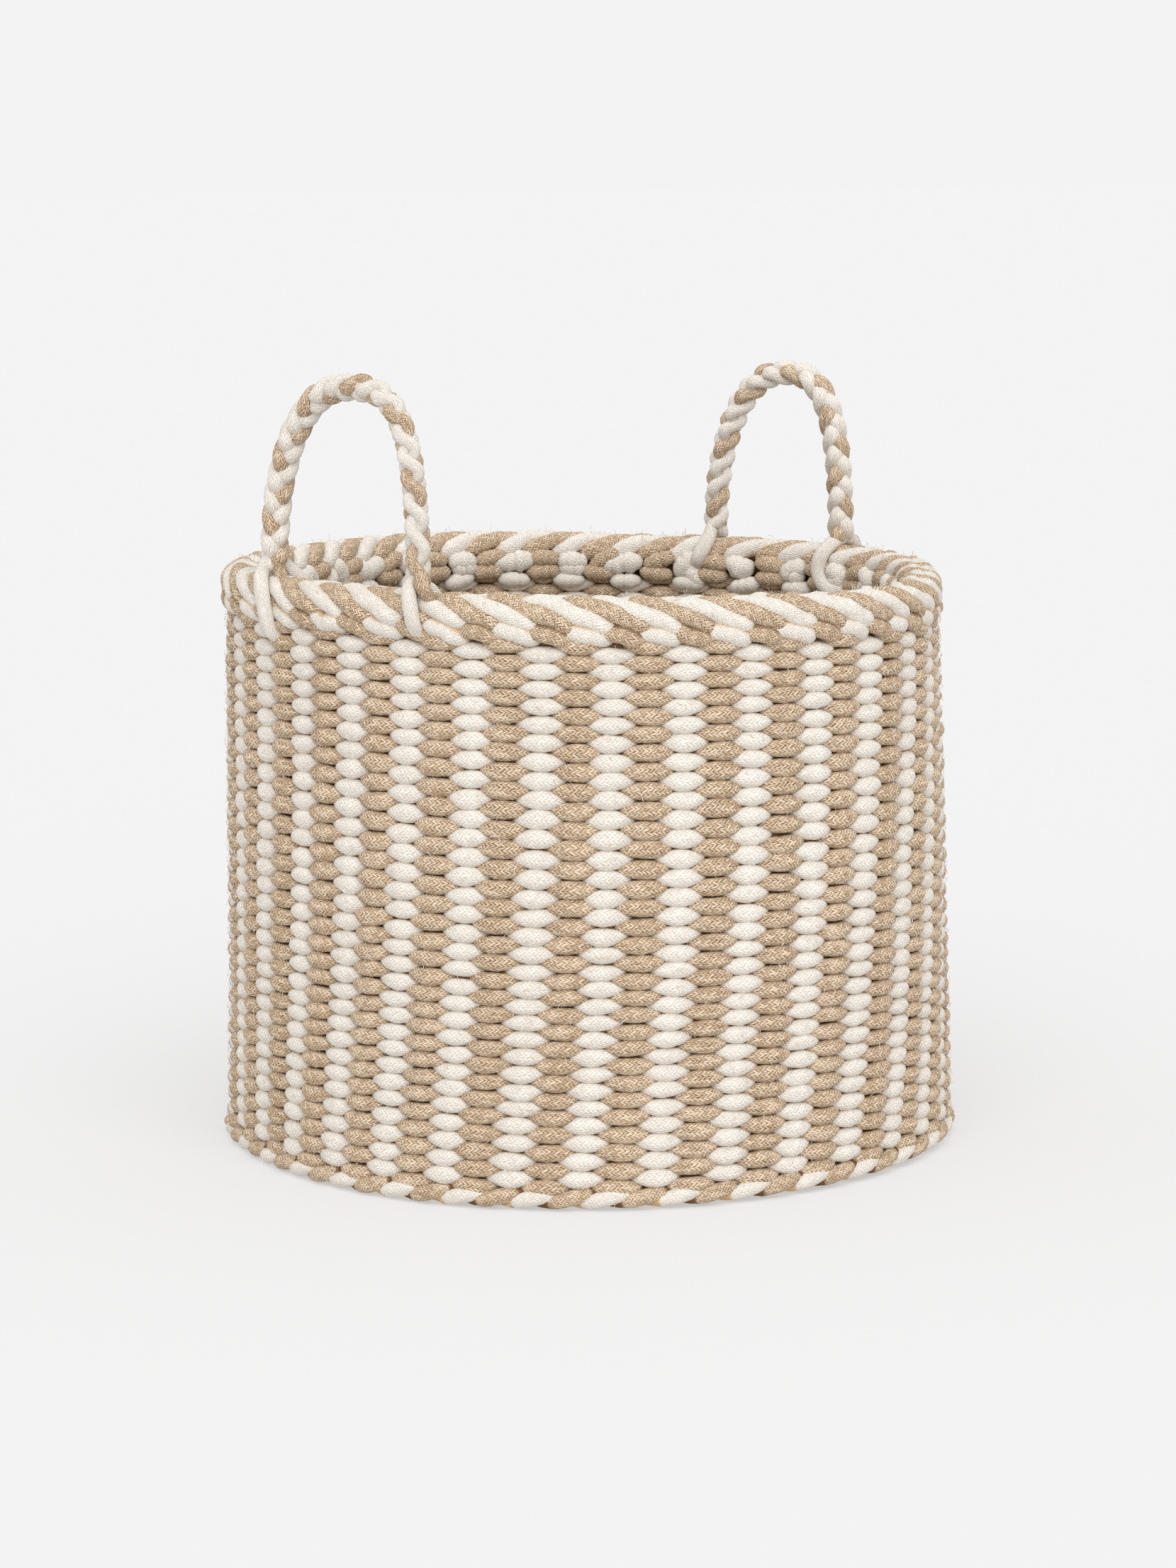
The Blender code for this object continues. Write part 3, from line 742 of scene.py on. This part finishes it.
def border():
    """The border: strokes down the outside and the inside, and a shorter row below outside."""
    outer_keys = [(-0.95, 0.0140, 0.0110), (-0.50, 0.0130, 0.0062), (0.0, 0.0100, 0.0050),
                  (0.50, 0.0064, 0.0066), (0.95, 0.0046, 0.0098), (1.35, 0.0042, 0.0132),
                  (1.70, 0.0052, 0.0160), (1.98, 0.0115, 0.0178)]
    inner_keys = [(-0.85, 0.0140, 0.0110), (-0.45, 0.0130, 0.0062), (0.0, 0.0098, 0.0050),
                  (0.4, 0.0060, 0.0068), (0.8, 0.0044, 0.0102), (1.2, 0.0090, 0.0145)]
    lower_keys = [(-0.70, 0.0115, 0.0180), (-0.40, 0.0062, 0.0194), (0.0, 0.0042, 0.0212),
                  (0.38, 0.0048, 0.0232), (0.70, 0.0115, 0.0250)]
    rows = (("outer", outer_keys, False, 0, 0.0), ("inner", inner_keys, True, 0, 0.5),
            ("lower", lower_keys, False, 1, 0.15))
    replaced = {"outer": ("border_braid",), "lower": ("border_outer_row",), "inner": ()}
    for name, keys, from_inside, swap, shift in rows:
        meshes = {"cream": CordMesh(), "tan": CordMesh()}
        for stake in range(STAKES):
            colour = "cream" if (stake + swap) % 2 == 0 else "tan"
            place = stake + shift + random.normal(0, STROKE_WANDER)
            jitter = np.array(keys) + random.normal(0, 1, (len(keys), 3)) * KEY_WANDER
            half_height = STROKE_HALF_HEIGHT * (1 + random.normal(0, STROKE_FATNESS))
            border_stroke(meshes[colour], place, jitter, from_inside, STROKE_HALF_DEPTH, half_height)
        for colour, mesh in meshes.items():
            item = mesh.build(f"border_{name}_{colour}", COLOURS[colour][0])
            nodes = replaced[name] if colour == "cream" else ()
            place_piece(item, colour, "basket", *nodes)


def border_core():
    """Cords that fill the border, under the strokes, painted almost wholly in the crevice shade."""
    angle = np.arange(STAKES * 2) * math.tau / (STAKES * 2)
    mesh = CordMesh()
    for inward, down in CORE_CORDS:
        centres = round_points(RIM_RADIUS - inward, angle, TOP - down)
        outs = round_points(0, angle, 1)
        mesh.add(centres, outs, CORE_HALF, CORE_HALF, closed=True, sides=HIDDEN_SIDES,
                 shade=CORE_SHADE)
    place_piece(mesh.build("border_core", TAN), "tan", "basket")


def lump(mesh, stake, down, half_length, half_width, tilt):
    """A short fat bulge of cord on the inside of the wall, down below the top of the rim."""
    share = np.linspace(-1, 1, 16)
    cap = np.sqrt(np.clip(1 - np.abs(share) ** 2.6, 0.02, 1))
    uneven = 1 + random.normal(0, LUMP_UNEVEN, len(share))
    height = TOP - down - share * half_length * math.sin(tilt)
    radius = RIM_RADIUS - WALL
    angle = column_angle(stake, height) + share * half_length * math.cos(tilt) / radius
    centres = round_points(radius + LUMP_SINK - LUMP_RISE * cap * uneven, angle, height)
    outs = round_points(-1, angle, 0)
    # the painted shade of the inside of the basket
    mesh.add(centres, outs, LUMP_HALF_DEPTH * cap, half_width * cap * uneven, shade=INSIDE_SHADE)


def stubs():
    """Inside under the border: folded cream stake ends, and bulges of the tan cord between.

    Each lump is given its place in stakes, depth, half length, half width and tilt.
    """
    ends = CordMesh()
    bulges = CordMesh()
    for stake in range(1, STAKES, 2):
        tilt = random.normal(0, 0.5)
        lump(ends, stake + random.normal(0, 0.08), 0.0180, 0.0100, 0.0068, tilt)
        second, down = stake + random.normal(0, 0.25), 0.0215 + random.normal(0, 0.0025)
        lump(ends, second, down, 0.0085, 0.0066, -tilt)
        between, tilt = stake + 1 + random.normal(0, 0.06), random.normal(0.15, 0.15)
        lump(bulges, between, 0.0160, 0.0108, 0.0058, tilt)
        between, tilt = stake + 1 + random.normal(0, 0.10), random.normal(0, 0.10)
        lump(bulges, between, 0.0248, 0.0112, 0.0056, tilt)
        third, tilt = stake + random.normal(0, 0.10), random.normal(0, 0.10)
        lump(ends, third, 0.0305, 0.0105, 0.0054, tilt)
    place_piece(ends.build("stake_ends", CREAM), "cream", "basket", "border_inner_row")
    place_piece(bulges.build("border_bulges", TAN), "tan", "basket")


# ---- loose fibres ----
def fibre(mesh, radius, angle, height):
    """A loose fibre: a hair that curves up out of a cord and back towards it."""
    share = np.linspace(0, 1, FIBRE_POINTS)
    length = random.uniform(*FIBRE_LENGTHS)
    way = random.uniform(0, math.tau)
    heading = way + random.normal(0, FIBRE_BEND) * share
    lift = random.uniform(*FIBRE_LIFTS) * np.sin(math.pi * (0.10 + 0.80 * share))
    aside = np.cumsum(np.cos(heading)) * length / len(share)
    upward = np.cumsum(np.sin(heading)) * length / len(share)
    turned = angle + aside / radius
    centres = round_points(radius + lift, turned, np.maximum(height + upward, FIBRE_LOWEST))
    mesh.add(centres, round_points(1, turned, 0.5), FIBRE_HALF, FIBRE_HALF, sides=3)


def loose_fibres():
    """Fine hairs that stand off the cords, all round the wall, the foot and the border."""
    for colour in ("cream", "tan"):
        mesh = CordMesh()
        for _ in range(FIBRES):
            height = random.uniform(0.003, TOP - 0.004)
            angle = random.uniform(0, math.tau)
            fibre(mesh, float(wall_radius(height)) - random.uniform(*FIBRE_SINKS), angle, height)
        for _ in range(BORDER_FIBRES):
            turn = random.uniform(-0.4, math.pi)
            radius = RIM_RADIUS - WALL / 2 + (WALL / 2 - 0.0015) * math.cos(turn)
            fibre(mesh, radius, random.uniform(0, math.tau), TOP - 0.0075 + 0.0075 * math.sin(turn))
        place_piece(mesh.build(f"loose_fibres_{colour}", FIBRE_MATERIALS[colour]), colour, "basket")


# ---- handles ----
def hinge_frame(side):
    """Middle and direction of the line between a handle's legs, outwards, and half the span."""
    joint = next(j for j in frame["joints"] if j["name"] == f"handle_{side}_hinge")
    middle = np.array(joint["pos_m"], float)
    along = np.array(joint["axis"], float)
    along = along if along[1] > 0 else -along
    outward = np.array([middle[0], middle[1], 0.0])
    outward = outward - along * outward.dot(along)
    first, last = LEG_COLUMNS[side]
    half_span = (RIM_RADIUS - WALL / 2) * math.sin((last - first) * STAKE_ANGLE) * HANDLE_SPANS[side]
    return middle, along, outward / np.linalg.norm(outward), half_span


def arch(side, count):
    """Evenly spaced points of a plait's centre line, as (along the rim, up), and their lengths."""
    half_span = hinge_frame(side)[3]
    names = [f"handle_{side}_strand_{name}" for name in ("cream_1", "cream_2", "tan")]
    node_top = max(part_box(name)[1].z for name in names)
    rise = node_top + HANDLE_RISES[side] - HANDLE_BASE - STRAND_HALF_WIDTH - PLAIT_HALF_WIDTH
    power = 2 / ARCH_POWERS[side]
    turn = np.linspace(0, math.pi, ARCH_POINTS)
    across = -np.sign(np.cos(turn)) * np.abs(np.cos(turn)) ** power
    up = np.abs(np.sin(turn)) ** power
    lean = HANDLE_SLIDES[side] - HANDLE_SHIFTS[side] * up ** 2
    line = np.stack([half_span * across + lean, rise * up], axis=1)
    length = np.concatenate([[0], np.cumsum(np.linalg.norm(np.diff(line, axis=0), axis=1))])
    wanted = np.linspace(0, length[-1], count)
    points = np.stack([np.interp(wanted, length, line[:, 0]), np.interp(wanted, length, line[:, 1])], 1)
    return points, wanted


def tail(side, end, kind):
    """The points of a strand's tail at one leg, from its tip up.

    Each is its distance out from the rim's middle line, stakes aside, and depth below the top.
    """
    face = WALL / 2
    if kind == "outside":
        aside, low = (0.25, 0.0215) if end == 0 else (0.65, 0.0330)
        return [(face - 0.0035, aside, low + 0.0030), (face + 0.0020, aside, low - 0.0030),
                (face + 0.0040, aside * 0.9, low * 0.5), (face + 0.0030, aside * 0.6, 0.0030),
                (face - 0.0030, 0.0, -0.0030)]
    if kind == "inside" and side == "right" and end == 0:
        return [(-face + 0.0030, -1.00, 0.0255), (-face - 0.0035, -0.62, 0.0290),
                (-face - 0.0050, -0.10, 0.0260), (-face - 0.0050, 0.18, 0.0165),
                (-face - 0.0030, 0.10, 0.0050), (-face + 0.0060, 0.00, -0.0030)]
    if kind == "inside":
        return [(-face + 0.0040, 0.50, 0.0185), (-face - 0.0030, 0.40, 0.0150),
                (-face - 0.0040, 0.25, 0.0090), (-face + 0.0010, 0.08, 0.0000)]
    if side == "left" and end == 0:
        return [(face - 0.0060, 0.58, 0.0035), (face - 0.0005, 0.52, -0.0025),
                (face - 0.0030, 0.38, -0.0095)]
    return [(0.0, 0.25, 0.0120), (0.0, 0.22, 0.0050), (0.0, 0.15, -0.0020)]


def tail_points(side, end, kind):
    """The places of a tail, from its tip up."""
    middle, along, _, _ = hinge_frame(side)
    leg = middle + along * arch(side, 2)[0][end, 0]
    leg_angle = math.atan2(leg[0], -leg[1])
    out, aside, down = np.array(tail(side, end, kind)).T
    return round_points(RIM_RADIUS - WALL / 2 + out, leg_angle + aside * STAKE_ANGLE, TOP - down)


def plait(side, phase):
    """The centre line of one strand in a plait, and the direction that its flat side faces."""
    middle, along, outward, _ = hinge_frame(side)
    mirror = -1 if side == "left" else 1
    centre, length = arch(side, PLAIT_POINTS)
    tangent = unit(np.gradient(centre, axis=0))
    sideways = np.stack([-tangent[:, 1], tangent[:, 0]], axis=1)
    long_pass = LONG_PASSES[side] * np.exp(-(length / LONG_PASS_REACH) ** 2)
    turn = math.tau * (length / PLAIT_TURN + long_pass) + phase
    width = PLAIT_HALF_WIDTH * np.sin(turn)
    depth = mirror * PLAIT_HALF_DEPTH * np.sin(2 * turn)
    flat = width * math.cos(PLAIT_SWIRL) - depth * math.sin(PLAIT_SWIRL)
    deep = width * math.sin(PLAIT_SWIRL) + depth * math.cos(PLAIT_SWIRL)
    place = centre + sideways * flat[:, None]
    points = middle + along * place[:, :1] + outward * deep[:, None]
    points[:, 2] = HANDLE_BASE + place[:, 1]
    side_vector = along * sideways[:, :1]
    side_vector[:, 2] = sideways[:, 1]
    return points, outward * math.cos(PLAIT_SWIRL) - side_vector * math.sin(PLAIT_SWIRL)


def strand(side, name, colour, phase, kind):
    """One strand of a handle: a tail, its way through the plait, and the other tail."""
    points, outs = plait(side, phase)
    free = points[:, 2] > TOP + PLAIT_RISE
    points, outs = points[free][::2], outs[free][::2]
    first, last = tail_points(side, 0, kind), tail_points(side, 1, kind)[::-1]
    hinge, _, outward, _ = hinge_frame(side)
    lines = [np.hstack([line, np.broadcast_to(way, line.shape)])
             for line, way in ((first, outward), (points, outs), (last, outward))]
    path = smooth_path(np.vstack(lines), 3)
    mesh = CordMesh()
    mesh.add(path[:, :3], unit(path[:, 3:]), STRAND_HALF_DEPTH, STRAND_HALF_WIDTH)
    item = mesh.build(f"handle_{side}_{name}", COLOURS[colour][0])
    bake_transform(item)
    place_piece(item, colour, "basket")
    return item


def handle(side):
    """Three strands plaited into a loop, with tails that tuck into the border and the wall."""
    third = math.tau / 3
    outer = strand(side, "cord_cream_1", "cream", 0.0, "outside")
    inner = strand(side, "cord_cream_2", "cream", third, "inside")
    tan = strand(side, "cord_tan", "tan", 2 * third, "top")
    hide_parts(f"handle_{side}_strand_cream_1", f"handle_{side}_root_1")
    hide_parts(f"handle_{side}_strand_cream_2", f"handle_{side}_root_2")
    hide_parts(f"handle_{side}_strand_tan")


# ---- studio ----
def studio():
    """A pale floor, even sky light and a soft key light."""
    half = 30.0
    mesh = bpy.data.meshes.new("studio_floor")
    corners = [(-half, -half, 0), (half, -half, 0), (half, half, 0), (-half, half, 0)]
    mesh.from_pydata(corners, [], [(0, 1, 2, 3)])
    floor = bpy.data.objects.new("studio_floor", mesh)
    bpy.context.scene.collection.objects.link(floor)
    material = bpy.data.materials.new("studio_floor")
    material.use_nodes = True
    shader = material.node_tree.nodes["Principled BSDF"]
    shader.inputs["Base Color"].default_value = (0.35, 0.35, 0.35, 1)
    shader.inputs["Emission Color"].default_value = (1, 1, 1, 1)
    shader.inputs["Emission Strength"].default_value = 0.46
    shader.inputs["Roughness"].default_value = 1.0
    shader.inputs["Specular IOR Level"].default_value = 0.0
    mesh.materials.append(material)

    pale = linear(243, 243, 243)
    world = bpy.data.worlds.new("studio")
    world.use_nodes = True
    world.node_tree.nodes["Background"].inputs["Color"].default_value = pale
    world.node_tree.nodes["Background"].inputs["Strength"].default_value = 1.0
    bpy.context.scene.world = world
    bpy.context.scene.view_settings.view_transform = "Standard"

    lamp = bpy.data.lights.new("key", "SUN")
    lamp.energy = 1.70
    lamp.angle = math.radians(60)
    key = bpy.data.objects.new("key", lamp)
    bpy.context.scene.collection.objects.link(key)
    key_azimuth = CAMERA_AZIMUTH + math.radians(6)
    key_elevation = math.radians(42)
    key_way = Vector((math.sin(key_azimuth), -math.cos(key_azimuth), math.tan(key_elevation)))
    key.rotation_euler = key_way.to_track_quat("Z", "Y").to_euler()


def camera():
    """A long lens a little above the rim, at the photograph's angle."""
    elevation = math.radians(8.106)
    distance = 3.006
    aim_height = 0.224
    aim_right = 0.0012
    roll = math.radians(-1.1)
    data = bpy.data.cameras.new("camera")
    data.sensor_fit = "VERTICAL"
    data.sensor_height = 36.0
    data.lens = 107.66
    item = bpy.data.objects.new("camera", data)
    bpy.context.scene.collection.objects.link(item)
    back = Vector((math.sin(CAMERA_AZIMUTH) * math.cos(elevation),
                   -math.cos(CAMERA_AZIMUTH) * math.cos(elevation), math.sin(elevation)))
    item.location = LEAN_WAY * aim_right + Vector((0, 0, aim_height)) + back * distance
    turn = back.to_track_quat("Z", "Y") @ Quaternion((0, 0, 1), roll)
    item.rotation_euler = turn.to_euler()
    bpy.context.scene.camera = item


camera()
wall()
stakes()
foot()
basket_floor()
border()
border_core()
stubs()
for handle_side in ("left", "right"):
    handle(handle_side)
loose_fibres()
studio()
